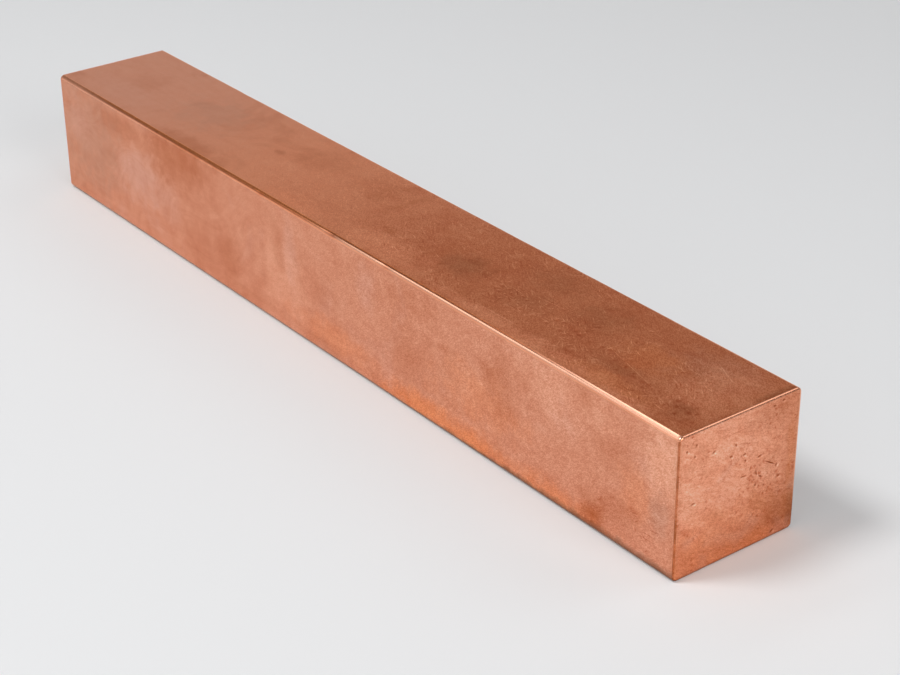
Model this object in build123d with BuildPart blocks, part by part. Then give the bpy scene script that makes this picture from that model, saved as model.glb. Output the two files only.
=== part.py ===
"""A cut length of drawn copper square bar, lying on one of its four flats.

The bar runs along X. The origin is on the floor, under the middle of the bar, and +Z is up.
Sizes are in millimetres.
"""

import os

from build123d import *

# Driving dimensions
SECTION_SIDE = 20.0  # across the flats, the size that the bar is sold by
BAR_LENGTH = 150.0  # the cut length
LONG_EDGE_RADIUS = 0.75  # the round that the drawing die leaves on the four long edges
END_BREAK = 0.15  # the deburring round where each sawn end meets the drawn faces


# Drawn section: a square with rounded corners, standing on the floor, pulled along the bar
with BuildPart() as square_bar:
    with BuildSketch(Plane.YZ.offset(-BAR_LENGTH / 2)):
        with Locations((0, SECTION_SIDE / 2)):
            RectangleRounded(SECTION_SIDE, SECTION_SIDE, LONG_EDGE_RADIUS)
    extrude(amount=BAR_LENGTH)

    # Sawn ends: the whole rim of each end face is eased by hand
    sawn_ends = square_bar.faces().filter_by(Axis.X)
    fillet(sawn_ends.edges(), END_BREAK)

square_bar.part.label = "square_bar"

os.makedirs("parts", exist_ok=True)
export_step(square_bar.part, "parts/square_bar.step")

print(f"square_bar: {square_bar.part.volume:.1f} mm3, size {square_bar.part.bounding_box().size}")
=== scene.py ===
# %% [markdown]
# # A drawn copper square bar
#
# This lesson dresses one piece of raw stock: a cut length of square copper bar that has lain about
# long enough to tarnish. The construction model gives its size and place. Blender gives it
# the fine shape that the hand would feel, the pits and dings, and the copper's own colours.

# %% Load the bar that was built before
import math

import bpy
import numpy as np
from mathutils import Matrix, Vector


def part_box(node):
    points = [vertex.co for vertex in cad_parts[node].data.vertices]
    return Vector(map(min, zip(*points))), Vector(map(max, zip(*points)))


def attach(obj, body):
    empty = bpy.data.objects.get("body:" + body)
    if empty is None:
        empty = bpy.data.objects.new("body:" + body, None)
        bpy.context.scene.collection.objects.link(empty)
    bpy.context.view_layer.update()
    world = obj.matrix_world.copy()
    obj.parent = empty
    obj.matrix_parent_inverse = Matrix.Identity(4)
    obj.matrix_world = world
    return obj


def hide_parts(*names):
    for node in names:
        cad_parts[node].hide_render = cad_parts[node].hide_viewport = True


MM = 0.001  # everything in Blender is in metres, and the sizes below are written in millimetres

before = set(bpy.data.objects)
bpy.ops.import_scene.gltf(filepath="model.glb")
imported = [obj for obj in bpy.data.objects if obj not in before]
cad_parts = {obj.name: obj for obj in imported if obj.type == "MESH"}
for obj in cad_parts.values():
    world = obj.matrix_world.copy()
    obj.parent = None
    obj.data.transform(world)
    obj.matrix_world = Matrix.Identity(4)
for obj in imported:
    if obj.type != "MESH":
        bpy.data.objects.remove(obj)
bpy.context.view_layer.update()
bar_low, bar_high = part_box("square_bar")
bar_size = bar_high - bar_low
bar_length, bar_side = bar_size.x, bar_size.z
print(f"bar {bar_length / MM:.1f} mm long, {bar_side / MM:.1f} mm square")

# %% [markdown]
# ## The camera
#
# The photograph was taken from above one end with a long lens, so the bar tapers only gently.
# A camera can be placed by eye, but a bar has long straight edges, and they tell where it stood. Its place
# is written in sides of the bar from the middle of the base, and after it which way the camera looks.

# %% Set up the camera
CAMERA_PLACE = Vector((11.06, -7.66, 7.04))  # in sides of the bar
CAMERA_AZIMUTH = math.radians(52.94)  # 0 looks along +Y and 90 along -X
CAMERA_ELEVATION = math.radians(27.88)
CAMERA_ROLL = math.radians(-0.57)
CAMERA_LENS = 82.55  # millimetres
SENSOR_WIDTH = 36.0  # millimetres
NEAREST_SEEN = 0.01  # metres

camera = bpy.data.objects.new("camera", bpy.data.cameras.new("camera"))
camera.data.sensor_width = SENSOR_WIDTH
camera.data.lens = CAMERA_LENS
camera.data.clip_start = NEAREST_SEEN
camera.matrix_world = (
    Matrix.Translation(CAMERA_PLACE * bar_side)
    @ Matrix.Rotation(CAMERA_AZIMUTH, 4, "Z")
    @ Matrix.Rotation(math.pi / 2 - CAMERA_ELEVATION, 4, "X")
    @ Matrix.Rotation(CAMERA_ROLL, 4, "Z")
)
bpy.context.scene.collection.objects.link(camera)
bpy.context.scene.camera = camera
print(f"camera {camera.location.length:.3f} m from the bar's middle")

# %% [markdown]
# ## A bench for nodes
#
# Shapes and finishes below are both built from nodes. A small helper adds a node, sets its inputs and
# returns a socket, so that a finish reads as a few lines of sums and not as pages of links.

# %% Make the node bench
class NodeBench:
    """Adds nodes to one tree. An input is given as a plain value or as another node's socket."""

    def __init__(self, tree):
        self.tree = tree

    def feed(self, socket, value):
        if isinstance(value, bpy.types.NodeSocket):
            self.tree.links.new(value, socket)
        else:
            socket.default_value = value

    def put(self, kind, inputs=None, **settings):
        node = self.tree.nodes.new(kind)
        for name, value in settings.items():
            setattr(node, name, value)
        for key, value in (inputs or {}).items():
            self.feed(node.inputs[key], value)
        return node

    def math(self, operation, *values):
        inputs = dict(enumerate(values))
        return self.put("ShaderNodeMath", inputs, operation=operation).outputs[0]

    def vector(self, operation, *values):
        inputs = dict(enumerate(values))
        if operation == "SCALE":
            inputs = {0: values[0], "Scale": values[1]}
        node = self.put("ShaderNodeVectorMath", inputs, operation=operation)
        return node.outputs["Value" if operation in ("LENGTH", "DOT_PRODUCT", "DISTANCE") else "Vector"]

    def join(self, x, y, z):
        """One vector from three numbers."""
        return self.put("ShaderNodeCombineXYZ", {"X": x, "Y": y, "Z": z}).outputs[0]

    def split(self, vector):
        """A vector's three numbers, by the names X, Y and Z."""
        return self.put("ShaderNodeSeparateXYZ", {0: vector}).outputs

    def spread(self, value, low, high, to_low=0.0, to_high=1.0, smooth=True):
        """Takes a value from one range to another, held at both ends."""
        kind = "SMOOTHSTEP" if smooth else "LINEAR"
        inputs = {"Value": value, "From Min": low, "From Max": high, "To Min": to_low, "To Max": to_high}
        return self.put("ShaderNodeMapRange", inputs, interpolation_type=kind).outputs["Result"]

    def band(self, value, begins, full, fades, ends):
        """1 while a value lies between full and fades, and 0 before it begins and after it ends."""
        return self.math("MULTIPLY", self.spread(value, begins, full), self.spread(value, ends, fades))

    def turn(self, vector, angle):
        """A vector turned about the third axis by an angle in radians."""
        inputs = {"Vector": vector, "Angle": angle}
        return self.put("ShaderNodeVectorRotate", inputs, rotation_type="Z_AXIS").outputs[0]

    def noise(self, vector, size, detail=2.0, roughness=0.5, distortion=0.0):
        """Cloudy noise from 0 to 1 with blotches of about the given size, in the vector's own units."""
        inputs = {"Vector": vector, "Scale": 1.0 / size, "Detail": detail}
        inputs |= {"Roughness": roughness, "Distortion": distortion}
        return self.put("ShaderNodeTexNoise", inputs).outputs[0]

    def mix(self, factor, below, above, blend="MIX"):
        """Lays one colour over another."""
        node = self.put("ShaderNodeMix", data_type="RGBA", blend_type=blend)
        self.feed(node.inputs[0], factor)
        self.feed(node.inputs[6], below)
        self.feed(node.inputs[7], above)
        return node.outputs[2]

    def report(self, what):
        print(f"{what}: {len(self.tree.nodes)} nodes")


# %% [markdown]
# ## The studio
#
# Bare metal shows little but what stands around it, so the light is half of the finish. A pale floor
# lights the side and the end. A soft key light hangs in front, and a weaker one stands beyond the near end,
# so the floor at the end's foot stays pale. The room is bright in front and dim behind, and the top of the
# bar is brown because it mirrors the dim part. Tall windows to the left put the bright line on the long
# edge, and only the near half of that edge turns its round towards them.

# %% Lay the floor
FLOOR_HALF = 3.0  # metres
FLOOR_COLOUR = (0.80, 0.805, 0.815, 1.0)
FLOOR_ROUGHNESS = 0.7
FLOOR_GLOSS = 0.25

floor_mesh = bpy.data.meshes.new("floor")
floor_corners = [(-1, -1, 0), (1, -1, 0), (1, 1, 0), (-1, 1, 0)]
floor_mesh.from_pydata([Vector(c) * FLOOR_HALF for c in floor_corners], [], [(0, 1, 2, 3)])
floor = bpy.data.objects.new("floor", floor_mesh)
bpy.context.scene.collection.objects.link(floor)

floor_finish = bpy.data.materials.new("pale floor")
floor_finish.use_nodes = True
floor_shader = floor_finish.node_tree.nodes["Principled BSDF"]
floor_shader.inputs["Base Color"].default_value = FLOOR_COLOUR
floor_shader.inputs["Roughness"].default_value = FLOOR_ROUGHNESS
floor_shader.inputs["Specular IOR Level"].default_value = FLOOR_GLOSS
floor_mesh.materials.append(floor_finish)
print(f"floor {2 * FLOOR_HALF:.0f} m square")

# %% Hang the soft lights
DISCS = {  # name: place and width in metres, watts
    "key light": (Vector((-0.09, -0.255, 0.45)), 0.17, 1.22),
    "end light": (Vector((0.43, 0.0, 0.25)), 0.26, 0.62),
}

for name, (place, width, watts) in DISCS.items():
    lamp = bpy.data.objects.new(name, bpy.data.lights.new(name, "AREA"))
    lamp.data.shape = "DISK"
    lamp.data.size = width
    lamp.data.energy = watts
    lamp.matrix_world = Matrix.Translation(place) @ place.to_track_quat("Z", "Y").to_matrix().to_4x4()
    bpy.context.scene.collection.objects.link(lamp)
print(f"{len(DISCS)} soft lights")

# %% Shade the room
# How bright the room is at some heights, from the floor's level at 0 to straight up at 1
ROOM_LIGHT = {0.0: 0.72, 0.15: 0.72, 0.26: 0.53, 0.42: 0.35, 0.56: 0.26, 1.0: 0.26}
ROOM_PATCHES = [  # direction, the cosines at which the patch begins and is full, light that it adds
    ((-0.74, 0.53, 0.41), 0.80, 0.97, 0.20),  # a pale wall to the back left, which the top mirrors
    ((-0.80, 0.08, 0.59), 0.90, 0.97, -0.04),  # a dark corner beside it
    ((0.65, 0.70, 0.28), 0.70, 0.95, -0.30),  # a dark wall behind the near end
    ((0.28, 0.63, 0.70), 0.935, 0.985, 1.30),  # a lamp above it
]
FRONT_BEGINS = -0.40  # along Y
FRONT_FULL = -0.55
FRONT_LIGHT = 0.30  # light that the front of the room adds

room = bpy.data.worlds.new("room")
bpy.context.scene.world = room
room.use_nodes = True
bench = NodeBench(room.node_tree)
direction = bench.put("ShaderNodeTexCoord").outputs["Generated"]
facing = bench.split(direction)
ramp = bench.put("ShaderNodeValToRGB", {0: facing["Z"]})
stops = ramp.color_ramp.elements
while len(stops) < len(ROOM_LIGHT):
    stops.new(0.5)
for stop, (level, light) in zip(stops, ROOM_LIGHT.items()):
    stop.position = level
    stop.color = (light, light, light, 1.0)
brightness = bench.put("ShaderNodeRGBToBW", {0: ramp.outputs["Color"]}).outputs[0]
for towards, begins, full, light in ROOM_PATCHES:
    nearness = bench.vector("DOT_PRODUCT", direction, Vector(towards).normalized())
    brightness = bench.math("ADD", brightness, bench.spread(nearness, begins, full, 0.0, light))
front = bench.spread(facing["Y"], FRONT_BEGINS, FRONT_FULL, 0.0, FRONT_LIGHT)
brightness = bench.math("ADD", brightness, front)
print(f"room: {len(ROOM_LIGHT)} levels and {len(ROOM_PATCHES)} patches of light")

# %% Open the windows
# Each window's lean to the front and half width in degrees, where along X it begins, is full, fades and ends,
# and its light
WINDOWS = [
    (33.0, 7.0, (-0.790, -0.710, -0.675, -0.640), 1.75),
    (-6.0, 12.0, (-0.690, -0.620, -0.59, -0.56), 2.5),
    (18.0, 13.0, (-0.655, -0.620, -0.59, -0.56), 1.7),
    (50.0, 16.0, (-0.645, -0.620, -0.59, -0.56), 0.8),
]
WINDOW_BLUR = 5.0  # degrees

lean = bench.math("ARCTAN2", bench.math("MULTIPLY", facing["Y"], -1.0), facing["Z"])
lean = bench.math("DEGREES", lean)
for middle, half_width, along_x, light in WINDOWS:
    aside = bench.math("ABSOLUTE", bench.math("SUBTRACT", lean, middle))
    pane = bench.spread(aside, half_width + WINDOW_BLUR, half_width - WINDOW_BLUR, 0.0, light)
    pane = bench.math("MULTIPLY", pane, bench.band(facing["X"], *along_x))
    brightness = bench.math("ADD", brightness, pane)
bench.feed(room.node_tree.nodes["Background"].inputs["Color"], brightness)

bpy.context.scene.view_settings.view_transform = "Standard"
print(f"{len(WINDOWS)} windows")

# %% [markdown]
# ## The dings of the near end
#
# The end that faces the light has been set down and knocked many times. Its larger dings are few and have
# places of their own, so they stand in a short list. The same list presses them into the shape here and
# darkens them in the finish below. A ding is an oval, long or round, turned in the plane of the end.

# %% List the dings
END_DINGS = [  # across and up the end in millimetres, then the ding's length, width and turn in degrees
    (-8.7, 17.7, 0.42, 0.38, 0.0),
    (-7.2, 18.1, 0.36, 0.30, 20.0),
    (-7.4, 16.6, 0.34, 0.30, 0.0),
    (-4.3, 16.1, 0.80, 0.26, 25.0),
    (-0.7, 15.7, 0.62, 0.26, -50.0),
    (-1.4, 14.4, 0.56, 0.34, 15.0),
    (0.8, 13.9, 0.62, 0.30, 10.0),
    (1.0, 13.0, 0.40, 0.28, -40.0),
    (0.8, 10.8, 1.05, 0.26, -4.0),
    (3.4, 12.7, 0.85, 0.28, 10.0),
    (5.3, 11.1, 2.20, 0.22, -32.0),
    (6.4, 10.4, 0.60, 0.34, 70.0),
    (3.0, 10.5, 0.85, 0.24, -75.0),
    (3.7, 9.8, 0.75, 0.24, -35.0),
    (3.0, 8.8, 0.44, 0.38, 0.0),
    (6.9, 8.7, 0.52, 0.34, 0.0),
    (-7.3, 10.1, 0.85, 0.28, 5.0),
    (5.4, 18.9, 0.55, 0.28, -20.0),
    (6.9, 19.2, 0.50, 0.30, 0.0),
    (6.4, 0.9, 0.75, 0.40, 30.0),
]
MARK_BEGINS = 1.3  # in half sizes from a mark's middle
MARK_FULL = 0.3


def marks(bench, plane, places):
    """The strongest of a list of oval marks, each with its middle, length, width and turn."""
    total = 0.0
    for across, up, length, width, turn in places:
        away = bench.vector("SUBTRACT", plane, (across, up, 0.0))
        turned = bench.turn(away, -math.radians(turn))
        share = bench.vector("MULTIPLY", turned, (2.0 / length, 2.0 / width, 0.0))
        mark = bench.spread(bench.vector("LENGTH", share), MARK_BEGINS, MARK_FULL)
        total = bench.math("MAXIMUM", total, mark)
    return total


print(f"{len(END_DINGS)} dings")

# %% [markdown]
# ## The bar's own form
#
# Drawing through a die leaves four flats with a small round on each long edge, and deburring leaves
# a much finer round about each sawn end. A bevelled cube would do, but it has no points on its flats
# to press dings into. Here a finely divided cube is pulled to the form by a rule: every point finds the
# nearest place on a smaller core, and is set one break radius off it, straight out.

# %% Name the sizes of the form
LONG_EDGE_RADIUS = 0.75 * MM
END_BREAK = 0.32 * MM  # more than the drawing asks, as wear leaves it
WAVINESS = 0.03 * MM  # how far the flats dip between the places that still touch a straight edge
EDGE_WEAR = 0.05 * MM  # the same for the rounds, which take most of the knocks
NICK_DEPTH = 0.05 * MM  # the deepest knocks on a round
DING_DEPTH = 0.10 * MM
SEED = 11.0
CELLS_ACROSS = 112
CELLS_ALONG = 160
ROUND_CELLS = 6  # cells of each face that lie on the round of a long edge
BREAK_CELLS = 3  # cells along the bar that lie on the round of a sawn end
CROWDING = 1.0  # how much the cells along the bar crowd towards its ends, below pi / 2

form_sizes = {
    "Length": bar_length,
    "Side": bar_side,
    "Long Edge Radius": LONG_EDGE_RADIUS,
    "End Break": END_BREAK,
    "Waviness": WAVINESS,
    "Edge Wear": EDGE_WEAR,
    "Nick Depth": NICK_DEPTH,
    "Ding Depth": DING_DEPTH,
    "Seed": SEED,
}
form_counts = {
    "Cells Across": CELLS_ACROSS,
    "Cells Along": CELLS_ALONG,
    "Round Cells": ROUND_CELLS,
    "Break Cells": BREAK_CELLS,
}
print(f"{CELLS_ALONG} cells along the bar and {CELLS_ACROSS} across each face")


# %% Say where the points of the cube go
def stretch_axis(bench, place, cells, round_cells, half, rounding, crowding=None):
    """Where a cube's point goes along one axis: even cells on the flat, even angles on the round."""
    count = bench.math("MULTIPLY", bench.math("ABSOLUTE", place), cells)
    flat_cells = bench.math("SUBTRACT", bench.math("MULTIPLY", cells, 0.5), round_cells)
    on_flat = bench.math("MINIMUM", bench.math("DIVIDE", count, flat_cells), 1.0)
    if crowding is not None:
        crowded = bench.math("SINE", bench.math("MULTIPLY", on_flat, crowding))
        on_flat = bench.math("DIVIDE", crowded, bench.math("SINE", crowding))
    past_flat = bench.math("MAXIMUM", bench.math("SUBTRACT", count, flat_cells), 0.0)
    angle = bench.math("MULTIPLY", bench.math("DIVIDE", past_flat, round_cells), math.pi / 4)
    flat_part = bench.math("MULTIPLY", on_flat, bench.math("SUBTRACT", half, rounding))
    round_part = bench.math("MULTIPLY", bench.math("TANGENT", angle), rounding)
    reach = bench.math("ADD", flat_part, round_part)
    return bench.math("MULTIPLY", reach, bench.math("SIGN", place))


def hold_within(bench, point, limits):
    """Keeps each part of a vector between minus and plus its limit."""
    lowest = bench.vector("SCALE", limits, -1.0)
    return bench.vector("MAXIMUM", bench.vector("MINIMUM", point, limits), lowest)


# %% Start the Geometry Nodes tree
form_tree = bpy.data.node_groups.new("drawn bar", "GeometryNodeTree")
form_tree.interface.new_socket("Geometry", in_out="OUTPUT", socket_type="NodeSocketGeometry")
form_kinds = {name: "NodeSocketFloat" for name in form_sizes}
form_kinds |= {name: "NodeSocketInt" for name in form_counts}
form_kinds |= {"Skin": "NodeSocketMaterial", "Sawn End": "NodeSocketMaterial"}
form_ids = {}
for name, kind in form_kinds.items():
    form_ids[name] = form_tree.interface.new_socket(name, in_out="INPUT", socket_type=kind).identifier

bench = NodeBench(form_tree)
given = bench.put("NodeGroupInput").outputs
half_length = bench.math("MULTIPLY", given["Length"], 0.5)
half_side = bench.math("MULTIPLY", given["Side"], 0.5)
points_along = bench.math("ADD", given["Cells Along"], 1.0)
points_across = bench.math("ADD", given["Cells Across"], 1.0)
counts = {"Vertices X": points_along, "Vertices Y": points_across, "Vertices Z": points_across}
cube = bench.put("GeometryNodeMeshCube", {"Size": (1.0, 1.0, 1.0), **counts})
print(f"form tree: {len(form_ids)} named inputs")

# %% Pull the cube to the drawn form
position = bench.put("GeometryNodeInputPosition").outputs[0]
place = bench.split(position)
across = (given["Cells Across"], given["Round Cells"], half_side, given["Long Edge Radius"])
along = (given["Cells Along"], given["Break Cells"], half_length, given["End Break"], CROWDING)
on_box = bench.join(
    stretch_axis(bench, place["X"], *along),
    stretch_axis(bench, place["Y"], *across),
    stretch_axis(bench, place["Z"], *across),
)

core_half = bench.math("SUBTRACT", half_side, given["Long Edge Radius"])
nearest_core = hold_within(bench, on_box, bench.join(half_length, core_half, core_half))
from_core = bench.vector("SUBTRACT", on_box, nearest_core)
inner_round = bench.math("SUBTRACT", given["Long Edge Radius"], given["End Break"])
core_gap = bench.math("MAXIMUM", bench.vector("LENGTH", from_core), 1e-9)
share = bench.math("MINIMUM", bench.math("DIVIDE", inner_round, core_gap), 1.0)
on_section = bench.vector("ADD", nearest_core, bench.vector("SCALE", from_core, share))
inner_half = bench.math("SUBTRACT", half_length, given["End Break"])
on_inner = hold_within(bench, on_section, bench.join(inner_half, half_side, half_side))
outward = bench.vector("NORMALIZE", bench.vector("SUBTRACT", on_box, on_inner))
on_bar = bench.vector("ADD", on_inner, bench.vector("SCALE", outward, given["End Break"]))
on_bar = bench.vector("ADD", on_bar, bench.join(0.0, 0.0, half_side))
bench.report("form tree without wear")

# %% Wear the form and press the dings in
# Wear only takes metal away, so every point is pressed inwards along its own normal
DIP_SPACING = 17.0  # millimetres between the dips of a flat
WEAR_SPACING = 6.0  # and between the worn stretches of a round
KNOCK_SPACING = 3.0  # and between the knocks on it
KNOCK_LEVELS = (0.66, 0.84)  # of the noise, where a knock begins and where it is deepest

sizes = bench.split(bench.vector("ABSOLUTE", outward))
steepest = bench.math("MAXIMUM", bench.math("MAXIMUM", sizes["X"], sizes["Y"]), sizes["Z"])
edge = bench.math("SQRT", bench.spread(steepest, 1.0, math.sqrt(0.5), smooth=False))
at_mm = bench.vector("SCALE", on_bar, 1.0 / MM)
shifted = bench.vector("ADD", at_mm, bench.join(given["Seed"], 0.0, 0.0))
dips = bench.math("MULTIPLY", bench.noise(shifted, DIP_SPACING, 1.0), given["Waviness"])
wear = bench.math("MULTIPLY", bench.noise(shifted, WEAR_SPACING, 1.0), edge)
wear = bench.math("MULTIPLY", wear, given["Edge Wear"])
knock = bench.spread(bench.noise(shifted, KNOCK_SPACING, 0.0), *KNOCK_LEVELS)
knock = bench.math("MULTIPLY", knock, edge)
nicks = bench.math("MULTIPLY", knock, given["Nick Depth"])
mm_place = bench.split(at_mm)
end_plane = bench.join(mm_place["Y"], mm_place["Z"], 0.0)
outward_x = bench.split(outward)["X"]
ding = bench.math("MULTIPLY", marks(bench, end_plane, END_DINGS), bench.spread(outward_x, 0.9, 1.0))
dents = bench.math("MULTIPLY", ding, given["Ding Depth"])
pressed = bench.math("ADD", bench.math("ADD", dips, wear), bench.math("ADD", nicks, dents))
worn = bench.vector("SUBTRACT", on_bar, bench.vector("SCALE", outward, pressed))
bench.report("form tree with wear")

# %% Keep what the finishes need and end the tree
END_NORMAL = 0.6  # a face of a sawn end points along the bar by more than this

kept = cube.outputs["Mesh"]
kept_kinds = {"FLOAT_VECTOR": {"outward": outward}, "FLOAT": {"edge": edge, "knock": knock}}
for kind, values in kept_kinds.items():
    for name, value in values.items():
        store = bench.put("GeometryNodeStoreNamedAttribute", {"Geometry": kept, "Name": name}, data_type=kind)
        bench.feed(store.inputs["Value"], value)
        kept = store.outputs[0]
moved = bench.put("GeometryNodeSetPosition", {"Geometry": kept, "Position": worn})
smooth = bench.put("GeometryNodeSetShadeSmooth", {"Geometry": moved.outputs[0]})
realized = bench.put("GeometryNodeRealizeInstances", {"Geometry": smooth.outputs[0]})
skinned = bench.put("GeometryNodeSetMaterial", {"Geometry": realized.outputs[0], "Material": given["Skin"]})
kept_normal = bench.put("GeometryNodeInputNamedAttribute", {"Name": "outward"}, data_type="FLOAT_VECTOR")
normal_x = bench.split(kept_normal.outputs[0])["X"]
faces_end = bench.math("GREATER_THAN", bench.math("ABSOLUTE", normal_x), END_NORMAL)
end_inputs = {"Geometry": skinned.outputs[0], "Selection": faces_end, "Material": given["Sawn End"]}
ended = bench.put("GeometryNodeSetMaterial", end_inputs)
bench.put("NodeGroupOutput", {0: ended.outputs[0]})
bench.report("whole form tree")

# %% [markdown]
# ## What the copper's surface is made of
#
# Old copper is never one colour. Air browns it, fingers and rags wipe it pale or leave it orange, and every
# knock leaves a bright or a dark mark. Each of these effects is made once, as a node group, and the skin
# and the sawn ends both use it. A group only gives a mask: the finish decides what the mask lays on.

# %% Start a shared group
def start_group(name, inputs, outputs):
    """A new shader group: its bench, what it is given and what it gives back."""
    tree = bpy.data.node_groups.new(name, "ShaderNodeTree")
    for socket, kind in inputs.items():
        tree.interface.new_socket(socket, in_out="INPUT", socket_type="NodeSocket" + kind)
    for socket in outputs:
        tree.interface.new_socket(socket, in_out="OUTPUT", socket_type="NodeSocketFloat")
    bench = NodeBench(tree)
    return bench, bench.put("NodeGroupInput").outputs, bench.put("NodeGroupOutput").inputs


def use_group(bench, name, **inputs):
    """Places a shared group in a finish. Spaces in its input names are written as low lines."""
    node = bench.put("ShaderNodeGroup", node_tree=bpy.data.node_groups[name])
    for key, value in inputs.items():
        bench.feed(node.inputs[key.replace("_", " ")], value)
    return node.outputs


# %% Clouds of tarnish
cloud_inputs = {"Point": "Vector", "Size": "Float", "Detail": "Float"}
bench, given, result = start_group("clouds", cloud_inputs, ["Clouds"])
scaled = bench.vector("SCALE", given["Point"], bench.math("DIVIDE", 1.0, given["Size"]))
cloud = bench.noise(scaled, 1.0, given["Detail"], 0.58, 0.8)
bench.feed(result["Clouds"], bench.spread(cloud, 0.25, 0.75, -1.0, 1.0, smooth=False))
bench.report("clouds")


def cloudy(bench, point, size, detail=5.0):
    """Clouds from -1 to 1, with blotches of about the given size in millimetres."""
    return use_group(bench, "clouds", Point=point, Size=size, Detail=detail)["Clouds"]


# %% Fine grain
GRAIN_SIZES = {0.60: 0.14, 0.24: 0.40, 0.12: 0.46}  # size in millimetres and share of the whole

bench, given, result = start_group("grain", {"Point": "Vector"}, ["Grain", "Flecks"])
total = 0.0
for size, share in GRAIN_SIZES.items():
    layer = bench.noise(given["Point"], size, 1.0)
    total = bench.math("ADD", total, bench.math("MULTIPLY", layer, share))
bench.feed(result["Grain"], bench.spread(total, 0.35, 0.65, -1.0, 1.0, smooth=False))
bench.feed(result["Flecks"], bench.spread(layer, 0.66, 0.76))
bench.report("grain")

# %% One smudge, laid by hand or by a rag
smudge_inputs = dict.fromkeys(["Point", "Torn", "Centre", "Half Size"], "Vector")
bench, given, result = start_group("smudge", smudge_inputs, ["Mask"])
moved = bench.vector("MULTIPLY_ADD", given["Torn"], given["Half Size"], given["Point"])
offset = bench.vector("SUBTRACT", moved, given["Centre"])
reach = bench.vector("LENGTH", bench.vector("DIVIDE", offset, given["Half Size"]))
bench.feed(result["Mask"], bench.spread(reach, 1.0, 0.15))
bench.report("smudge")


# %% Scratches, each a short line in a strip of its own
WANDER = 1.6  # millimetres that a strip can stray from side to side
WANDER_SPACING = 9.0  # millimetres from one bend to the next
STAGGER = 17.0  # lengths by which one strip can start ahead of another


def luck(bench, *numbers):
    """Three chance numbers from 0 to 1 that always come out the same for the same strip."""
    vector = bench.put("ShaderNodeCombineXYZ", dict(enumerate(numbers))).outputs[0]
    colour = bench.put("ShaderNodeTexWhiteNoise", {"Vector": vector}).outputs["Color"]
    return bench.put("ShaderNodeSeparateColor", {0: colour}).outputs


scratch_inputs = {"Plane": "Vector"}
scratch_inputs |= dict.fromkeys(["Turn", "Length", "Gap", "Width", "Share", "Seed"], "Float")
bench, given, result = start_group("scratches", scratch_inputs, ["Mask"])
turned = bench.split(bench.turn(given["Plane"], given["Turn"]))
bend = bench.math("SUBTRACT", bench.noise(given["Plane"], WANDER_SPACING, 1.0), 0.5)
strips = bench.math("ADD", turned["Y"], bench.math("MULTIPLY", bend, WANDER))
strips = bench.math("DIVIDE", strips, given["Gap"])
strip = bench.math("FLOOR", strips)
start = bench.math("MULTIPLY", luck(bench, strip, given["Seed"], 0.5)[0], STAGGER)
ahead = bench.math("ADD", bench.math("DIVIDE", turned["X"], given["Length"]), start)

# Chance sets where in its strip a line runs, how long it is, and whether it is there at all
chance = luck(bench, strip, bench.math("FLOOR", ahead), given["Seed"])
middle = bench.math("ADD", bench.math("MULTIPLY", chance[0], 0.6), 0.2)
aside = bench.math("ABSOLUTE", bench.math("SUBTRACT", bench.math("FRACT", strips), middle))
aside = bench.math("MULTIPLY", aside, given["Gap"])
along = bench.math("ABSOLUTE", bench.math("SUBTRACT", bench.math("FRACT", ahead), 0.5))
half = bench.math("ADD", bench.math("MULTIPLY", chance[1], 0.36), 0.12)
line = bench.math("MULTIPLY", bench.spread(aside, given["Width"], 0.0), bench.spread(along, half, 0.0))
there = bench.math("LESS_THAN", chance[2], given["Share"])
bench.feed(result["Mask"], bench.math("MULTIPLY", line, there))
bench.report("scratches")

# %% Pits, scattered one to a cell
RAGGED_SCALE = 2.2  # bends of a pit's outline to a millimetre
RAGGED_REACH = 0.5  # millimetres that the outline can stray

pit_inputs = {"Plane": "Vector"} | dict.fromkeys(["Spacing", "Size", "Share"], "Float")
bench, given, result = start_group("pits", pit_inputs, ["Mask"])
ragged = {"Vector": given["Plane"], "Scale": RAGGED_SCALE}
warp = bench.put("ShaderNodeTexNoise", ragged).outputs["Color"]
warp = bench.vector("SCALE", bench.vector("SUBTRACT", warp, (0.5, 0.5, 0.5)), RAGGED_REACH)
warped = bench.vector("ADD", given["Plane"], warp)
cells = {"Vector": warped, "Scale": bench.math("DIVIDE", 1.0, given["Spacing"])}
cell = bench.put("ShaderNodeTexVoronoi", cells, voronoi_dimensions="2D").outputs
chance = bench.put("ShaderNodeSeparateColor", {0: cell["Color"]}).outputs
reach = bench.math("MULTIPLY", cell["Distance"], given["Spacing"])
width = bench.math("ADD", bench.math("MULTIPLY", chance[1], 0.8), 0.3)
width = bench.math("MULTIPLY", given["Size"], width)
there = bench.math("LESS_THAN", chance[0], given["Share"])
bench.feed(result["Mask"], bench.math("MULTIPLY", bench.spread(reach, width, 0.0), there))


def pitting(bench, plane, spacing, size, share):
    """Pits of a spacing and a width in millimetres, in a share of the cells."""
    return use_group(bench, "pits", Plane=plane, Spacing=spacing, Size=size, Share=share)["Mask"]


print("shared groups:", ", ".join(group.name for group in bpy.data.node_groups))

# %% [markdown]
# ## Colours and ways to lay them
#
# Tarnish is a film over the metal, so a patch of it is laid as a tint with a strength. Grain and mottling
# are different: they darken or lighten whatever is under them, and blue most of all, because a thin film
# takes blue away first.

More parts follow.
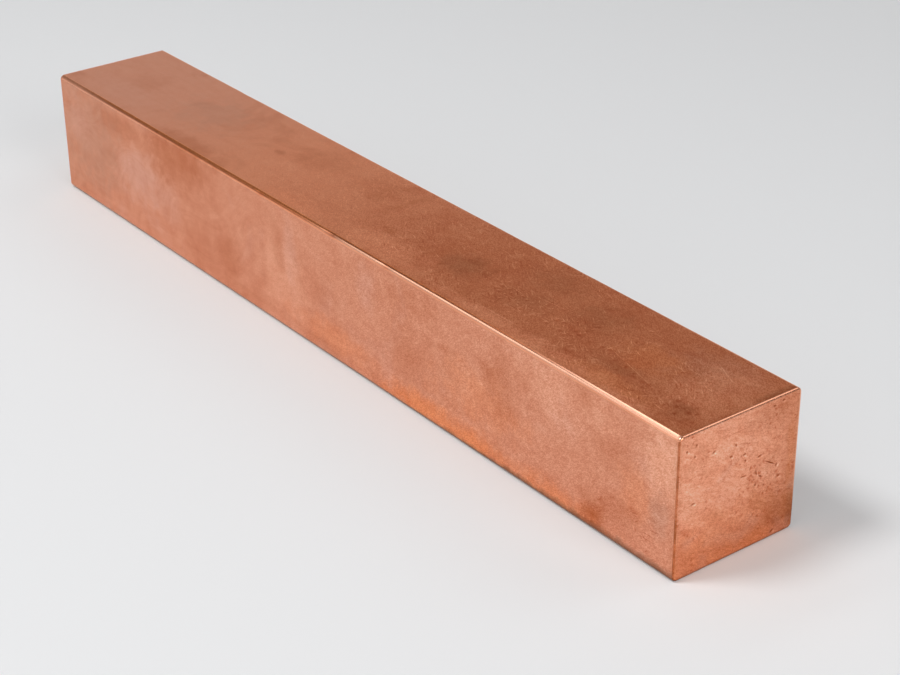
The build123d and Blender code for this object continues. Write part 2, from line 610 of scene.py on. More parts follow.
# %% Name the copper's colours
BRIGHT = (0.97, 0.430, 0.265, 1.0)  # metal that a file has bared, also laid as a painted glint on the top rims
DULL = (0.77, 0.333, 0.205, 1.0)  # the skin as the die left it
BROWN = (0.53, 0.142, 0.048, 1.0)  # tarnish, also laid as painted shade beside the near end and as a painted dark line along the long edge
FILM = (0.86, 0.320, 0.165, 1.0)  # a thin tarnish
UMBER = (0.26, 0.070, 0.020, 1.0)  # the darkest tarnish, also laid as painted shade along the foot and under the bar
FOOT_SHADE = (0.22, 0.095, 0.055, 1.0)  # painted shade along the bar's foot
PALE = (0.98, 0.500, 0.330, 1.0)  # metal that a rag has wiped, also laid as a painted sheen on the lower round under the long edge's highlight
ORANGE = (0.88, 0.290, 0.105, 1.0)  # a film of the first tarnish, also laid as a painted dark line along the long edge
PINK = (0.80, 0.410, 0.300, 1.0)  # clean metal with a dull face
GREY = (0.60, 0.310, 0.215, 1.0)  # a dusty film
WORN_AND_HIGHLIGHT = (0.98, 0.520, 0.360, 1.0)  # an edge that hands have polished, also the tint of painted highlights and of the glow painted onto the floor at the end's foot
BLUSH = (0.60, 0.43, 0.37, 1.0)  # what the floor sees of the skin
SHADE = (0.72, 0.40, 0.24, 1.0)  # what the darkest grain leaves of each colour
GLOW = (1.28, 1.62, 1.85, 1.0)  # what the lightest grain makes of each colour
EDGE_TINT = (0.95, 0.80, 0.72, 1.0)  # what copper mirrors at a glancing angle


# %% Start a copper finish
def start_copper(name):
    """A new copper finish: its material, its bench, its shader and its place in millimetres."""
    material = bpy.data.materials.new(name)
    material.use_nodes = True
    bench = NodeBench(material.node_tree)
    shader = material.node_tree.nodes["Principled BSDF"]
    shader.inputs["Metallic"].default_value = 1.0
    shader.inputs["Specular Tint"].default_value = EDGE_TINT
    place = bench.put("ShaderNodeTexCoord").outputs["Object"]
    return material, bench, shader, bench.vector("SCALE", place, 1.0 / MM)


def attribute(bench, name, output="Fac"):
    return bench.put("ShaderNodeAttribute", attribute_name=name).outputs[output]


def times(bench, *values):
    """All the values multiplied together."""
    product = values[0]
    for value in values[1:]:
        product = bench.math("MULTIPLY", product, value)
    return product


# %% Lay tints and vary a colour
def lay(bench, colour, tint, *masks):
    """Lays a tint over a colour where all the masks agree."""
    return bench.mix(times(bench, *masks), colour, tint)


def darken(bench, colour, *masks):
    return bench.mix(times(bench, *masks), colour, SHADE, "MULTIPLY")


def lighten(bench, colour, *masks):
    return bench.mix(times(bench, *masks), colour, GLOW, "MULTIPLY")


def vary(bench, colour, tone, dark, light):
    """Darkens a colour where a tone runs below nought and lightens it where the tone runs above."""
    colour = darken(bench, colour, bench.spread(tone, 0.0, -1.0, 0.0, dark, smooth=False))
    return lighten(bench, colour, bench.spread(tone, 0.0, 1.0, 0.0, light, smooth=False))


# %% Lay lists of patches and scratches
TEAR = 1.5  # how far a smudge's outline is torn, in half sizes


def lay_patches(bench, colour, point, patches):
    """Lays a list of smudges, each with its tint, strength, middle and half size, all torn by one noise."""
    ragged = {"Vector": point, "Scale": 0.35, "Detail": 5.0, "Roughness": 0.66}
    noise = bench.put("ShaderNodeTexNoise", ragged).outputs["Color"]
    torn = bench.vector("SCALE", bench.vector("SUBTRACT", noise, (0.5, 0.5, 0.5)), TEAR)
    for tint, strength, middle, half_size in patches:
        placed = {"Point": point, "Torn": torn, "Centre": middle, "Half_Size": half_size}
        colour = lay(bench, colour, tint, use_group(bench, "smudge", **placed)["Mask"], strength)
    return colour


def scratch_sets(bench, plane, sets, seed):
    """The strongest of several sets of scratches, each with its own turn, length, gap, width and share."""
    total = 0.0
    for index, (turn, length, gap, width, share) in enumerate(sets):
        sizes = {"Length": length, "Gap": gap, "Width": width, "Share": share, "Seed": seed + index}
        line = use_group(bench, "scratches", Plane=plane, Turn=math.radians(turn), **sizes)["Mask"]
        total = bench.math("MAXIMUM", total, line)
    return total


# %% [markdown]
# ## The drawn skin
#
# The four long faces carry the skin that the die left. Most of it is a dull pink brown. The top has browned
# further towards the near end, the foot of the front has an orange film, and rags have left pale patches.
# The larger patches have places of their own, so they stand in two lists. The rest is noise.

# %% List the patches on the skin
FRONT = bar_low.y / MM  # the front side, the top and the near end, in millimetres
TOP = bar_high.z / MM
NEAR_END = bar_high.x / MM
SIDE_DEPTH = 0.8  # half the depth of a patch, so that it stays on its own face
TOP_DEPTH = 0.6

SIDE_PATCHES = [  # tint, strength, middle along the bar and up the side, half length and half height
    (GREY, 0.50, -66.0, 12.0, 16.0, 14.0),
    (PINK, 0.45, -70.0, 14.0, 7.0, 6.0),
    (BROWN, 0.40, -56.0, 17.0, 10.0, 3.0),
    (BROWN, 0.60, -38.0, 17.0, 15.0, 7.0),
    (PINK, 0.95, -50.0, 10.0, 10.0, 6.5),
    (PINK, 0.50, -41.0, 9.0, 5.0, 5.0),
    (BROWN, 0.22, -31.0, 5.0, 13.0, 8.0),
    (BROWN, 0.36, -23.0, 5.0, 5.0, 6.0),
    (BROWN, 0.25, -9.8, 13.0, 2.4, 6.0),
    (PINK, 0.55, -6.4, 12.0, 2.8, 8.0),
    (PALE, 0.40, -9.0, 7.5, 10.0, 9.0),
    (ORANGE, 0.35, 4.0, 3.6, 14.0, 3.4),
    (BROWN, 0.22, 2.0, 9.5, 5.0, 3.5),
    (BROWN, 0.26, 2.0, 1.2, 9.0, 3.0),
    (PINK, 0.45, 12.5, 15.0, 3.2, 6.5),
    (BROWN, 0.25, 21.5, 8.0, 7.0, 7.0),
    (BROWN, 0.16, 30.0, 8.0, 7.0, 7.0),
    (BROWN, 0.28, 21.0, 16.5, 5.0, 5.0),
    (ORANGE, 0.75, 24.0, 1.4, 12.0, 3.4),
    (ORANGE, 0.75, 36.0, 1.4, 12.0, 3.2),
    (ORANGE, 0.55, 53.0, 1.0, 14.0, 3.0),
    (ORANGE, 0.30, 37.0, 8.0, 14.0, 6.0),
    (BROWN, 0.30, 42.0, 12.0, 5.0, 8.0),
    (PALE, 0.35, 51.0, 16.5, 9.0, 5.0),
    (PALE, 0.30, 62.0, 17.0, 5.0, 3.5),
    (BROWN, 0.20, 64.0, 12.0, 6.0, 4.0),
    (BROWN, 0.75, 60.5, 2.0, 4.0, 3.6),
    (BROWN, 0.30, 64.0, 5.0, 8.0, 4.0),
    (ORANGE, 0.25, 68.0, 9.0, 5.0, 5.0),
    (GREY, 0.42, 72.0, 8.0, 2.4, 4.6),
    (PALE, 0.70, 73.5, 15.5, 6.0, 8.0),
]
TOP_PATCHES = [  # tint, strength, middle along and across the top, half length and half width
    (PINK, 0.30, -62.0, -5.0, 14.0, 4.0),
    (BROWN, 0.18, -63.0, -0.5, 6.0, 5.0),
    (GREY, 0.34, -44.0, 1.0, 11.0, 8.0),
    (BROWN, 0.44, -36.0, -8.8, 13.0, 3.2),
    (BROWN, 0.30, -17.0, 4.0, 8.0, 6.0),
    (BROWN, 0.22, -3.0, 5.0, 10.0, 6.0),
    (BROWN, 0.50, -24.5, 0.5, 1.8, 1.3),
    (FILM, 0.80, -7.0, -8.2, 11.0, 3.4),
    (BROWN, 0.60, 8.5, -3.0, 2.2, 1.5),
    (BROWN, 0.35, 3.0, 4.5, 1.6, 7.0),
    (FILM, 0.72, 12.0, -7.0, 14.0, 4.8),
    (FILM, 0.60, 44.0, -8.6, 34.0, 2.6),
    (ORANGE, 0.30, 60.0, -7.5, 10.0, 2.6),
    (FILM, 0.85, 64.5, -9.0, 5.5, 1.8),
    (UMBER, 0.36, 24.0, -1.5, 6.0, 4.5),
    (UMBER, 0.22, 37.0, -1.5, 6.0, 4.0),
    (UMBER, 0.22, 36.0, 5.0, 8.0, 5.0),
    (UMBER, 0.24, 47.0, 2.5, 7.0, 5.0),
    (UMBER, 0.25, 58.0, -4.2, 7.0, 2.0),
    (ORANGE, 0.30, 58.5, 0.0, 6.0, 4.5),
    (GREY, 0.20, 66.5, 4.5, 9.0, 7.0),
    (FILM, 0.55, 70.0, 1.0, 8.0, 10.0),
    (UMBER, 0.26, 70.3, -5.5, 3.4, 2.8),
    (UMBER, 0.35, 74.4, 6.5, 1.0, 5.0),
]

skin_patches = []
for tint, strength, along, up, half_length, half_height in SIDE_PATCHES:
    skin_patches.append((tint, strength, (along, FRONT, up), (half_length, SIDE_DEPTH, half_height)))
for tint, strength, along, across, half_length, half_width in TOP_PATCHES:
    skin_patches.append((tint, strength, (along, across, TOP), (half_length, half_width, TOP_DEPTH)))
print(f"{len(skin_patches)} patches on the skin")

# %% Mix the skin
HANDLED = (-50.0, 45.0)  # where along the bar hands begin to mark the skin, and where they mark it fully
TOP_TINTS = [  # tint, where along the bar it begins and is full, strength
    (FILM, -70.0, 0.0, 0.85),
    (PINK, -20.0, -60.0, 0.30),
    (BROWN, -25.0, 28.0, 0.72),
]

skin, bench, shader, point = start_copper("drawn copper skin")
place = bench.split(point)

# The front and the top unfold to one plane, and its third part keeps them apart from the back and the base
girth = bench.math("ADD", place["Y"], place["Z"])
apart = bench.math("MULTIPLY", bench.math("SUBTRACT", place["Y"], place["Z"]), 0.3)
plane = bench.join(place["X"], girth, apart)

on_top = bench.spread(place["Z"], TOP - 0.8, TOP - 0.2)
off_top = bench.math("SUBTRACT", 1.0, on_top)
handled = bench.spread(place["X"], *HANDLED)
clouds = cloudy(bench, point, 11.0, 3.0)
small_clouds = cloudy(bench, point, 4.5)

colour = DULL
for tint, begins, full, strength in TOP_TINTS:
    colour = lay(bench, colour, tint, bench.spread(place["X"], begins, full, 0.0, strength), on_top)
colour = lay(bench, colour, PINK, bench.spread(clouds, 0.1, 1.0, 0.0, 0.45), off_top)
colour = lay(bench, colour, BROWN, bench.spread(clouds, -0.1, -1.0, 0.0, 0.35))
colour = lay_patches(bench, colour, point, skin_patches)
colour = vary(bench, colour, times(bench, small_clouds, handled, on_top), 0.42, 0.25)
colour = vary(bench, colour, times(bench, small_clouds, off_top), 0.20, 0.16)
bench.report("patched skin")

# %% Smear the side with a rag and streak the skin along its draw
SMEAR_RISE = 24.0  # degrees that the smears of the far half rise towards the near end
SMEAR_DRAG = 0.22  # how closely the smears crowd along the bar, against across it
DRAW_DRAG = (0.10, 1.0, 1.0)  # the same for the streaks that the die left
WIPE_DRAG = (1.0, 0.16, 0.5)  # and for the wipes, which run up the side

bend = bench.noise(plane, 14.0, 1.0)
rise = bench.spread(place["X"], -30.0, 5.0, math.radians(-SMEAR_RISE), 0.0)
rise = bench.math("ADD", rise, bench.spread(bend, 0.3, 0.7, -0.12, 0.12, smooth=False))
across_smear = bench.math("ADD", girth, bench.math("MULTIPLY", place["X"], bench.math("SINE", rise)))
smeared = bench.join(bench.math("MULTIPLY", place["X"], SMEAR_DRAG), across_smear, apart)
smears = cloudy(bench, smeared, 2.0)
fine_smears = cloudy(bench, smeared, 0.7)
on_far_side = times(bench, off_top, bench.spread(place["X"], 22.0, 0.0))
low_side = times(bench, off_top, bench.spread(place["Z"], 8.0, 2.0))
streaks = cloudy(bench, bench.vector("MULTIPLY", plane, DRAW_DRAG), 1.2)
wipes = cloudy(bench, bench.vector("MULTIPLY", plane, WIPE_DRAG), 0.45)

tone = times(bench, bench.math("ADD", smears, times(bench, fine_smears, 0.7)), on_far_side, 0.42)
tone = bench.math("ADD", tone, times(bench, streaks, bench.spread(low_side, 0.0, 1.0, 0.22, 0.5)))
tone = bench.math("ADD", tone, times(bench, wipes, off_top, handled, 0.40))
colour = vary(bench, colour, tone, 0.32, 0.28)
bench.report("smeared skin")

# %% [markdown]
# ## Scratches, chips and grain
#
# Sliding over other stock leaves fine scratches, and small chips show bare metal with a painted shadow on one
# side. They could be cut into the mesh, but most are finer than its cells. So they are laid on as colour,
# over a grain that has a little bump. Chance scatters them, and only the longest scratches have places of
# their own.

# %% List the skin's scratches and chips
LIGHT_SCRATCHES = [  # turn in degrees, length, gap and width in millimetres, share of the strips
    (3.0, 9.0, 1.3, 0.08, 0.30),
    (-13.0, 4.0, 0.8, 0.08, 0.30),
    (21.0, 4.0, 0.9, 0.13, 0.34),
    (36.0, 3.0, 0.7, 0.12, 0.40),
    (48.0, 2.4, 0.9, 0.13, 0.25),
    (-52.0, 2.2, 0.9, 0.13, 0.22),
]
DARK_SCRATCHES = [(-4.0, 5.0, 0.9, 0.10, 0.28), (34.0, 2.6, 0.8, 0.13, 0.26), (-38.0, 2.2, 0.8, 0.13, 0.24)]
LONG_SCRATCHES = [  # along and across the skin in millimetres, length, width and turn
    (58.5, 17.1, 14.0, 0.14, -14.0),
    (40.0, 20.5, 9.0, 0.11, 6.0),
    (67.0, 25.0, 6.0, 0.11, -24.0),
    (34.0, 19.3, 3.0, 0.16, -6.0),
    (38.0, 13.0, 12.0, 0.12, 1.0),
]
# Ovals in the same form: where the skin is most chipped, and where dark specks crowd on the top
WORKED = [(43.0, 18.0, 34.0, 10.0, 0.0), (64.0, -6.5, 16.0, 7.0, 20.0)]
STAINED = [(70.3, 14.5, 9.0, 7.0, 0.0), (60.0, 16.0, 12.0, 4.0, -8.0)]
CHIPS = (1.3, 0.70, 0.45)  # spacing and width in millimetres, share of the cells
SPECKS = (1.0, 0.75, 0.5)
CHIP_SHADOW = (-0.22, 0.14, 0.0)  # how far the chips' pattern is moved to give their shadows, in millimetres
print(f"{len(LIGHT_SCRATCHES) + len(DARK_SCRATCHES)} sets of scratches and {len(LONG_SCRATCHES)} long ones")

# %% Mask the scratches and chips
clustered = bench.spread(bench.noise(plane, 7.0, 2.0), 0.40, 0.60, 0.15, 1.0)
worked = times(bench, marks(bench, plane, WORKED), clustered)
chips = pitting(bench, plane, *CHIPS)
chip_shadows = pitting(bench, bench.vector("ADD", plane, CHIP_SHADOW), *CHIPS)
specks = times(bench, pitting(bench, plane, *SPECKS), marks(bench, plane, STAINED))
scratched = times(bench, scratch_sets(bench, plane, LIGHT_SCRATCHES, seed=0.0), clustered)
scratched = bench.math("MAXIMUM", scratched, marks(bench, plane, LONG_SCRATCHES))
low_corner = times(bench, bench.spread(place["X"], 50.0, 66.0), bench.spread(place["Z"], 10.0, 4.0))
gouged = bench.math("MAXIMUM", times(bench, on_top, handled), low_corner)
gouged = times(bench, scratch_sets(bench, plane, DARK_SCRATCHES, seed=10.0), clustered, gouged)
bench.report("skin with its masks")

# %% Break the skin's grain and lay its scratches on
TOP_RUB = 40.0  # degrees that the fine rub marks of the top fall towards the near end
SIDE_RUB = -34.0  # those of the side rise
RUB_DRAG = (0.5, 1.0, 1.0)  # how closely the grain crowds along a rub, against across it

edge = attribute(bench, "edge")
flat = bench.spread(edge, 0.35, 0.05)
rub = bench.spread(on_top, 0.0, 1.0, math.radians(SIDE_RUB), math.radians(TOP_RUB))
rubbed = bench.vector("MULTIPLY", bench.turn(plane, rub), RUB_DRAG)
grain = use_group(bench, "grain", Point=rubbed)
grain_share = times(bench, flat, bench.spread(handled, 0.0, 1.0, 0.12, 1.0))
grain_share = times(bench, grain_share, bench.spread(on_top, 0.0, 1.0, 1.3, 2.0))
colour = vary(bench, colour, times(bench, grain["Grain"], grain_share), 0.38, 0.33)
colour = darken(bench, colour, gouged, 0.85)
colour = lighten(bench, colour, scratched, handled, flat, bench.spread(on_top, 0.0, 1.0, 0.35, 1.0))
colour = lighten(bench, colour, grain["Flecks"], handled, flat, 0.30)
colour = lighten(bench, colour, chips, worked)
colour = darken(bench, colour, chip_shadows, worked, 0.8)
colour = darken(bench, colour, specks, 0.75)
bench.report("scratched skin")

# %% [markdown]
# ## The long edge, the rims and the foot
#
# Hands reach the edges first. The near half of the long edge is polished, and a pale tint is laid where its
# bright line falls, as a painted highlight, with a painted dark line above it. The far half carries a painted
# dark reflection, and the rims about the ends have browned, with painted shade beside the near end and a
# painted glint on the top rims. Such lines could be painted on the mesh, but then they would need a picture
# file. The form tree kept each point's outward direction, so a mask can ask how far round the edge a point
# lies.

# %% Polish the near half of the long edge and paint its highlight
# The upward part of the normal grows from 0 on the side to 1 on the top, and tells how far round a point lies
POLISH_AND_HIGHLIGHT_BEGINS = (-6.0, 14.0)  # where along the bar the polish and the painted highlight come in, in millimetres
POLISH_AND_HIGHLIGHT_WIDENS = (44.0, 60.0)  # where it widens to the whole round
BROW_FADES = (22.0, 42.0)  # where the painted dark line above it fades

outward = bench.split(attribute(bench, "outward", "Vector"))
upward = outward["Z"]
along = place["X"]
# Painted shade: an orange and brown line above the highlight stands in for the dim room that the round
# mirrors there
brow = times(bench, bench.spread(edge, 0.05, 0.3), bench.spread(upward, 0.82, 0.90))
colour = lay(bench, colour, ORANGE, brow, bench.spread(along, *BROW_FADES, 0.7, 0.1))
brow = times(bench, brow, bench.spread(along, 0.0, 12.0, 0.4, 1.0))
colour = lay(bench, colour, BROWN, brow, bench.spread(along, *BROW_FADES, 0.5, 0.2))
# Painted highlight: a pale tint is laid where the windows' bright line falls on the round
narrow = times(bench, bench.band(upward, 0.50, 0.62, 0.83, 0.91), bench.spread(along, *POLISH_AND_HIGHLIGHT_BEGINS))
wide = times(bench, bench.band(upward, 0.50, 0.62, 0.97, 0.998), bench.spread(along, *POLISH_AND_HIGHLIGHT_WIDENS))
colour = lay(bench, colour, WORN_AND_HIGHLIGHT, bench.math("MAXIMUM", narrow, wide), 0.9)
# Painted sheen: the lower round of the near half is laid paler
lower_round = bench.band(upward, 0.05, 0.5, 0.55, 0.75)
colour = lay(bench, colour, PALE, lower_round, bench.spread(along, -5.0, 10.0, 0.0, 0.40))
bench.report("skin with a polished edge")

# %% Paint a dark reflection on the far half of the long edge
FAR_LINE_ENDS = (-12.0, 8.0)  # where along the bar the painted dark line stops
FAR_LINE_BEGINS = (-75.0, -50.0)  # where it comes in
FAR_TIP = (-55.0, -72.0)  # where bare metal takes its place

upper_round = bench.band(upward, 0.50, 0.75, 0.97, 0.999)
colour = lay(bench, colour, BRIGHT, upper_round, bench.spread(along, *FAR_TIP))
upper_round = times(bench, upper_round, bench.spread(along, *FAR_LINE_ENDS, 0.9, 0.0))
upper_round = times(bench, upper_round, bench.spread(along, *FAR_LINE_BEGINS, 0.1, 1.0))
# Painted reflection: orange and brown on the far round stand in for the dim room that it mirrors
colour = lay(bench, colour, ORANGE, upper_round, bench.spread(upward, 0.70, 0.85))
colour = lay(bench, colour, BROWN, upper_round, bench.spread(upward, 0.85, 0.70))
bench.report("skin with a dark far edge")

# %% Brown the rims of the skin, paint shade beside the near end and a glint on the top rims
ragged = bench.noise(point, 1.6, 3.0, 0.6)
rim = bench.spread(bench.math("ABSOLUTE", outward["X"]), 0.05, 0.35)
upright = bench.spread(upward, 0.5, 0.2)
# Painted shade: the faces below the top darken in a narrow band just before the near end
colour = lay(bench, colour, BROWN, bench.spread(along, NEAR_END - 1.4, NEAR_END - 0.2), off_top, 0.22)
colour = lay(bench, colour, BROWN, rim, upright, 0.7)
colour = lay(bench, colour, UMBER, rim, upright, bench.spread(ragged, 0.6, 0.3, 0.0, 0.6))
# Painted glint: the upward rims are laid in bright metal
colour = lay(bench, colour, BRIGHT, rim, bench.spread(upward, 0.2, 0.5), 0.6)
colour = darken(bench, colour, attribute(bench, "knock"), 0.6)
bench.report("skin with brown rims")

# %% Paint shade along the foot
FOOT_SHADE_LOW = 1.2  # how high the painted shade reaches on the far part and on the near part, in millimetres
FOOT_SHADE_HIGH = 1.8

# Painted shade: the foot and the underside of the bottom round are darkened
foot_height = bench.math("ADD", place["Z"], bench.spread(ragged, 0.3, 0.7, -0.3, 0.3, smooth=False))
foot_shade = bench.spread(foot_height, bench.spread(along, 40.0, 58.0, FOOT_SHADE_LOW, FOOT_SHADE_HIGH), 0.3)
colour = lay(bench, colour, FOOT_SHADE, foot_shade, bench.spread(along, 12.0, 45.0, 0.0, 0.85))
under = bench.spread(upward, 0.0, -0.5)
colour = lay(bench, colour, UMBER, under, bench.spread(along, -30.0, 45.0, 0.1, 0.9))
bench.report("skin with a dark foot")

# %% Let the floor see a greyer copper
# Painted light: bounced light sees a greyer copper than the skin shows, so the floor takes only a faint blush
floor_looks = bench.put("ShaderNodeLightPath").outputs["Is Diffuse Ray"]
colour = lay(bench, colour, BLUSH, floor_looks, 0.75)
bench.feed(shader.inputs["Base Color"], colour)
bench.report("coloured skin")

# %% Dull the skin and raise its grain
DULLNESS = 0.40  # roughness of old copper
DULLNESS_VARIES = 0.03  # how much the grain and the smudges change it
SKIN_POLISH = 0.24  # how much smoother the rounds are
GRAIN_RELIEF = 0.002  # millimetres

dullness = bench.math("ADD", DULLNESS, times(bench, grain["Grain"], flat, DULLNESS_VARIES))
dullness = bench.math("ADD", dullness, bench.spread(ragged, 0.3, 0.7, -DULLNESS_VARIES, DULLNESS_VARIES))
shine = times(bench, bench.spread(edge, 0.12, 0.42), SKIN_POLISH)
bench.feed(shader.inputs["Roughness"], bench.math("SUBTRACT", dullness, shine))

relief = times(bench, grain["Grain"], handled, flat, GRAIN_RELIEF)
bump = bench.put("ShaderNodeBump", {"Height": relief, "Distance": MM, "Strength": 1.0})
bench.feed(shader.inputs["Normal"], bump.outputs["Normal"])
bench.report("whole skin")

# %% [markdown]
# ## The sawn ends
#
# A saw and a file bare fresh copper, so the ends are brighter than the skin. They are also where a bar is
# set down and knocked, so they carry pits and hairlines between the dings that were pressed in above.

# %% List the patches and hairlines of the near end
END_DEPTH = 3.0  # half the depth of a patch, in millimetres
END_PATCHES = [  # tint, strength, middle across and up the end, half width and half height
    (BROWN, 0.18, 2.0, 19.0, 10.0, 2.4),
    (BROWN, 0.24, 7.5, 18.5, 4.0, 2.6),
    (BROWN, 0.28, -9.0, 3.0, 3.0, 5.5),
    (UMBER, 0.22, 9.2, 12.0, 2.2, 10.0),
    (UMBER, 0.50, 9.5, 3.2, 1.5, 4.5),
    (UMBER, 0.14, 4.5, 17.5, 5.0, 3.0),
    (PALE, 0.30, -2.0, 15.5, 5.0, 2.5),
    (PALE, 0.32, -8.0, 11.5, 3.0, 6.0),
    (PALE, 0.35, 4.6, 10.3, 3.0, 2.4),
    (BROWN, 0.20, 0.0, 1.5, 10.0, 5.0),
    (BROWN, 0.50, 7.5, 3.6, 4.0, 4.0),
    (ORANGE, 0.30, 8.8, 12.0, 1.2, 8.0),
    (ORANGE, 0.40, 2.0, 1.0, 9.0, 1.8),
]
END_HAIRLINES = [  # across and up the end in millimetres, then length, width and turn
    (-1.0, 17.5, 9.0, 0.14, 1.0),
    (-2.9, 17.7, 1.9, 0.13, 2.0),
    (5.0, 11.3, 3.4, 0.14, -28.0),
    (1.5, 15.2, 5.0, 0.10, -18.0),
    (6.0, 7.0, 4.0, 0.11, -30.0),
    (-4.0, 8.2, 3.0, 0.10, 62.0),
]
END_SCRATCHES = [  # turn in degrees, length, gap and width in millimetres, share of the strips
    (-14.0, 5.0, 0.6, 0.09, 0.30),
    (62.0, 4.0, 0.7, 0.09, 0.26),
    (-38.0, 2.5, 0.6, 0.09, 0.24),
    (8.0, 3.0, 0.5, 0.08, 0.22),
]

end_patches = []
for tint, strength, across, up, half_width, half_height in END_PATCHES:
    end_patches.append((tint, strength, (NEAR_END, across, up), (END_DEPTH, half_width, half_height)))
print(f"{len(end_patches)} patches and {len(END_HAIRLINES)} hairlines on the near end")

# %% Mix the sawn end
FILED_FALL = 27.0  # degrees that the file's streaks fall to the right
FILED_DRAG = (0.42, 1.15, 1.0)  # how closely the streaks crowd along their length and across it
GRAIN_DRAG = (1.4, 0.87, 1.0)  # the grain is less drawn out than the streaks

sawn_end, bench, shader, point = start_copper("sawn copper end")
place = bench.split(point)
plane = bench.join(place["Y"], place["Z"], place["X"])
near_end = bench.math("GREATER_THAN", place["X"], 0.0)

clouds = cloudy(bench, point, 6.0, 2.0)
filed = bench.vector("MULTIPLY", bench.turn(plane, math.radians(FILED_FALL)), FILED_DRAG)
grain = use_group(bench, "grain", Point=bench.vector("MULTIPLY", filed, GRAIN_DRAG))
blush = cloudy(bench, filed, 1.6)
low = bench.math("ADD", place["Z"], times(bench, clouds, 3.0))
colour = lay(bench, BRIGHT, ORANGE, bench.spread(low, 10.0, 1.0, 0.0, 0.55))
colour = lay(bench, colour, BROWN, bench.spread(place["Y"], -1.0, 10.0, 0.0, 0.36))
colour = lay(bench, colour, PINK, bench.spread(clouds, 0.0, 1.0, 0.0, 0.4))
colour = lay(bench, colour, BROWN, bench.spread(clouds, -0.1, -1.0, 0.0, 0.25))
colour = lay_patches(bench, colour, point, end_patches)
colour = vary(bench, colour, blush, 0.30, 0.24)
bench.report("patched end")

# %% Paint the light and shade of hollows on the sawn end
# A hollow is lit on one side, so the same pattern, moved a little, is taken from itself, and the difference
# is painted into the colour as light and shade
LIT_HOLLOW = (-0.10, 0.16, 0.0)  # how far the hollows and the dings are moved, in millimetres
LIT_DING = (-0.20, 0.22, 0.0)

hollows = cloudy(bench, filed, 0.9)
lit_hollows = cloudy(bench, bench.vector("ADD", filed, LIT_HOLLOW), 0.9)
colour = vary(bench, colour, bench.math("SUBTRACT", hollows, lit_hollows), 0.28, 0.24)
bench.report("hollowed end")

# %% Pit and scratch the sawn end
LOOSE_PITS = (0.9, 0.42, 0.45)  # spacing and width in millimetres, share of the cells
CLOSE_PITS = (0.8, 0.46, 0.55)
CLUSTER = (4.5, 9.5, NEAR_END)  # the middle of the close pits

pitted = bench.spread(bench.noise(plane, 5.0, 2.0), 0.40, 0.60, 0.1, 1.0)
pits = pitting(bench, plane, *LOOSE_PITS)
cluster = bench.vector("LENGTH", bench.vector("SUBTRACT", plane, CLUSTER))
close_pits = times(bench, pitting(bench, plane, *CLOSE_PITS), bench.spread(cluster, 5.0, 1.5))
pits = bench.math("MAXIMUM", times(bench, pits, pitted), close_pits)
hairlines = times(bench, marks(bench, plane, END_HAIRLINES), near_end)
scratched = times(bench, scratch_sets(bench, plane, END_SCRATCHES, seed=20.0), pitted)
dings = times(bench, marks(bench, plane, END_DINGS), near_end)
# Painted highlight: each ding's lit lip is the dings' pattern moved a little, lightened where it leaves the
# ding
lit_lips = times(bench, marks(bench, bench.vector("ADD", plane, LIT_DING), END_DINGS), near_end)
lit_lips = bench.math("MAXIMUM", bench.math("SUBTRACT", lit_lips, dings), 0.0)

colour = vary(bench, colour, grain["Grain"], 0.50, 0.43)
colour = lighten(bench, colour, lit_lips, 0.6)
colour = darken(bench, colour, scratched, 0.45)
colour = darken(bench, colour, hairlines, 0.45)
colour = darken(bench, colour, pits, 0.75)
colour = darken(bench, colour, dings, bench.spread(blush, -0.6, 0.6, 1.0, 0.75))
colour = lay(bench, colour, UMBER, dings, 0.4)
bench.report("pitted end")

# %% Rim the sawn end
BACK = bar_high.y / MM  # the back side, which is the right rim of the near end

edge = attribute(bench, "edge")
outward = bench.split(attribute(bench, "outward", "Vector"))
ragged = bench.noise(point, 1.6, 3.0, 0.6)
rim = bench.spread(edge, 0.15, 0.6)
front = bench.spread(outward["Y"], -0.1, -0.5)
right = bench.spread(outward["Y"], 0.1, 0.4)
# Painted shade: a narrow band of the end beside its front edge is browned
colour = lay(bench, colour, BROWN, bench.spread(place["Y"], FRONT + 1.2, FRONT + 0.2), 0.25)
colour = lay(bench, colour, BROWN, rim, front, 0.7)
colour = lay(bench, colour, UMBER, rim, front, bench.spread(ragged, 0.6, 0.3, 0.0, 0.6))
# Painted glint: the top rim is laid in bright metal
colour = lay(bench, colour, BRIGHT, rim, bench.spread(outward["Z"], 0.1, 0.4), 0.6)
# Painted highlight: a pale line along the upper part of the right edge
right_edge = bench.spread(place["Y"], BACK - 0.5, BACK - 0.25)
colour = lay(bench, colour, WORN_AND_HIGHLIGHT, right_edge, bench.spread(place["Z"], 4.0, 7.0))
colour = lay(bench, colour, UMBER, rim, right, bench.spread(place["Z"], 7.0, 4.0))
# Painted shade: the lower rim and the foot of the end are darkened
colour = lay(bench, colour, UMBER, rim, bench.spread(outward["Z"], -0.1, -0.4), 0.8)
colour = lay(bench, colour, UMBER, bench.spread(place["Z"], 0.6, 0.1, 0.0, 0.70))
colour = darken(bench, colour, attribute(bench, "knock"), 0.6)
bench.report("rimmed end")
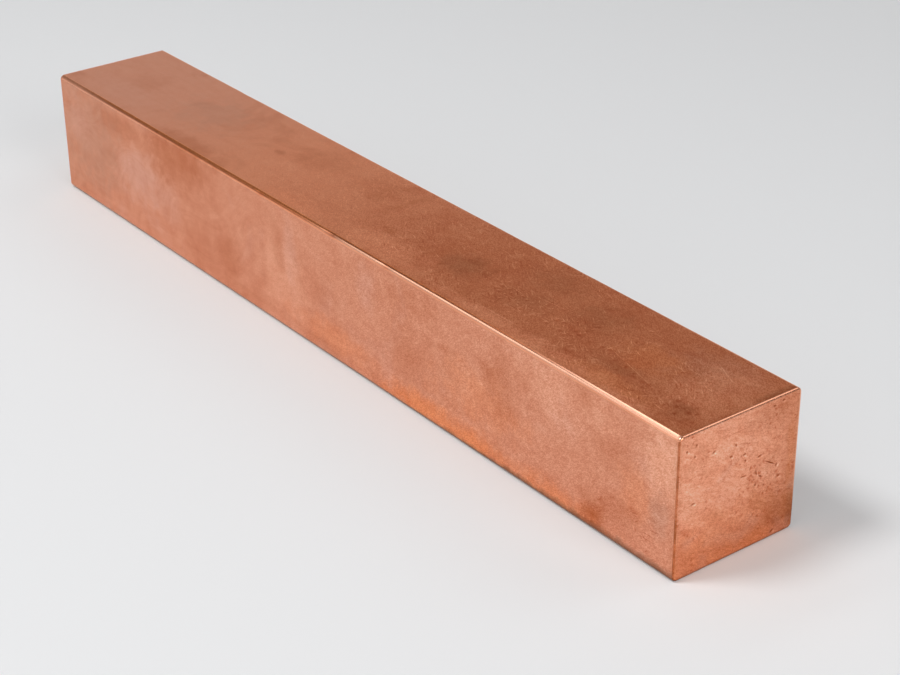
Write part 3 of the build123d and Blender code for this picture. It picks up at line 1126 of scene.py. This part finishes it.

# %% Let the floor see a bright end
# The floor at the end's foot takes a painted glow: light bounced onto the floor sees a paler copper than the
# end shows
floor_looks = bench.put("ShaderNodeLightPath").outputs["Is Diffuse Ray"]
colour = lay(bench, colour, WORN_AND_HIGHLIGHT, floor_looks)
bench.feed(shader.inputs["Base Color"], colour)
bench.report("coloured end")

# %% Dull the sawn end and sink its pits
END_POLISH = 0.12  # how much smoother the rims are
PIT_DEPTH = 0.03  # millimetres
SCRATCH_DEPTH = 0.008

dullness = bench.math("ADD", DULLNESS, times(bench, grain["Grain"], DULLNESS_VARIES))
shine = times(bench, bench.spread(edge, 0.2, 0.5), END_POLISH)
bench.feed(shader.inputs["Roughness"], bench.math("SUBTRACT", dullness, shine))
relief = times(bench, bench.math("ADD", grain["Grain"], blush), GRAIN_RELIEF)
relief = bench.math("SUBTRACT", relief, times(bench, pits, PIT_DEPTH))
relief = bench.math("SUBTRACT", relief, times(bench, scratched, SCRATCH_DEPTH))
bump = bench.put("ShaderNodeBump", {"Height": relief, "Distance": MM, "Strength": 1.0})
bench.feed(shader.inputs["Normal"], bump.outputs["Normal"])
bench.report("whole end")

# %% [markdown]
# ## Drawing the bar
#
# The tree, its sizes and the two finishes now come together. The modifier's result is copied to a plain mesh
# and the modifier is taken off, so the bar that is handed over is an ordinary mesh that any program can read.

# %% Draw the bar
bar = bpy.data.objects.new("copper_bar", bpy.data.meshes.new("bar blank"))
bpy.context.scene.collection.objects.link(bar)
form = bar.modifiers.new("drawn bar", "NODES")
form.node_group = form_tree
for name, value in {**form_sizes, **form_counts, "Skin": skin, "Sawn End": sawn_end}.items():
    form[form_ids[name]] = value
depsgraph = bpy.context.evaluated_depsgraph_get()
bar.data = bpy.data.meshes.new_from_object(bar.evaluated_get(depsgraph))
bar.modifiers.remove(form)
bar.data.name = "copper_bar"

# The empty blank leaves an empty first slot, and the finishes move down into it
slots = np.empty(len(bar.data.polygons), dtype=np.int32)
bar.data.polygons.foreach_get("material_index", slots)
bar.data.materials.pop(index=0)
bar.data.polygons.foreach_set("material_index", slots - 1)
triangles = sum(len(p.vertices) - 2 for p in bar.data.polygons)
print(f"bar: {len(bar.data.vertices)} points, {triangles} triangles, {[m.name for m in bar.data.materials]}")

# %% Hand the bar over
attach(bar, "root")
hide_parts("square_bar")
